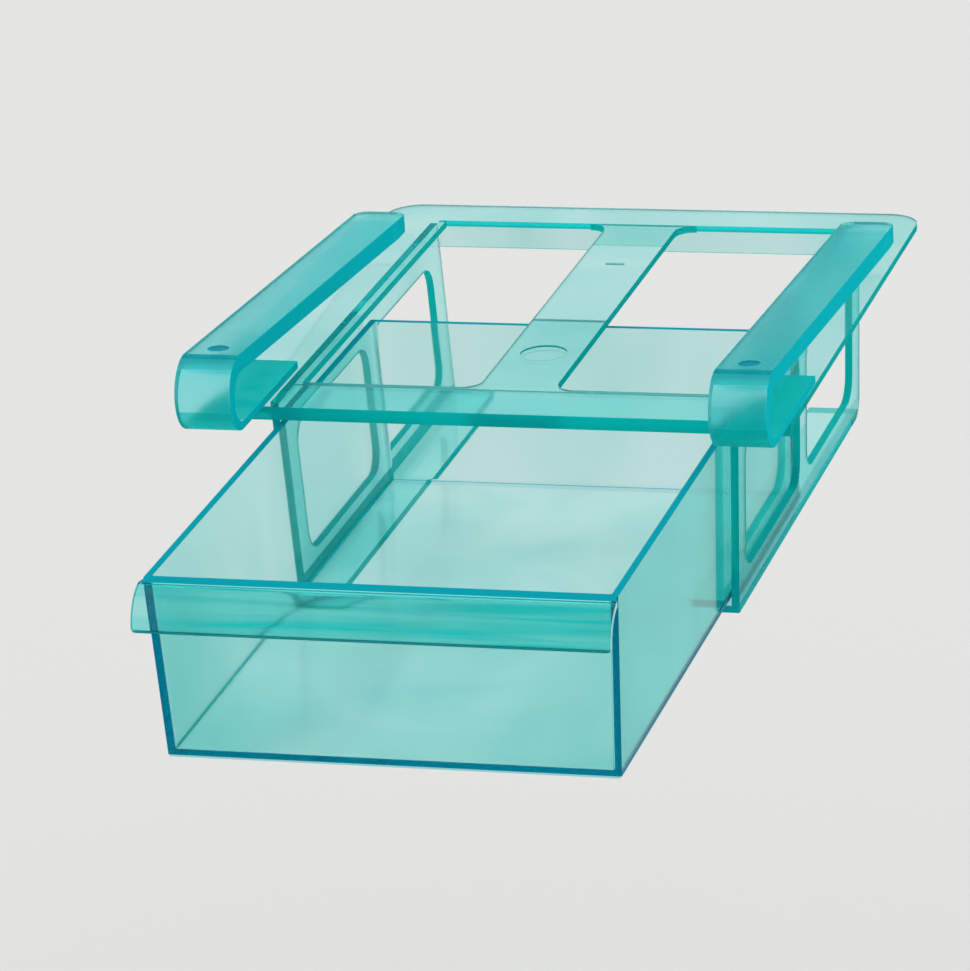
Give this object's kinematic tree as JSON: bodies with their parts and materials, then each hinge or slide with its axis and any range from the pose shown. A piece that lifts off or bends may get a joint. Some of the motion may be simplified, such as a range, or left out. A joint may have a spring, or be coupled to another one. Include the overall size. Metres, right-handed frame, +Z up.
{
  "type": "under-shelf fridge drawer organizer",
  "caption": "Clear teal drawer that slides in a windowed carrier frame, hung from the front edge of a fridge shelf by two long C-shaped clips.",
  "frame": {"origin": "middle of the two clips, at the front of the side walls, level with the top of the clip jaws where the front edge of the shelf rests", "axes": "+X to the right as seen from in front of the fridge, +Y to the back of the fridge, +Z up"},
  "size_m": [0.235, 0.4455, 0.113],
  "materials": {
    "carrier_teal": "gloss",
    "clip_teal": "gloss",
    "drawer_teal": "gloss"
  },
  "bodies": {
    "carrier": {"carrier_frame": "carrier_teal", "left_shelf_clip": "clip_teal", "right_shelf_clip": "clip_teal"},
    "drawer": {"drawer": "drawer_teal"}
  },
  "joints": [
    {"name": "drawer_slide", "type": "slide", "parent": "carrier", "child": "drawer", "axis": [0, 1, 0], "range_m": [-0.11, 0.111]}
  ]
}
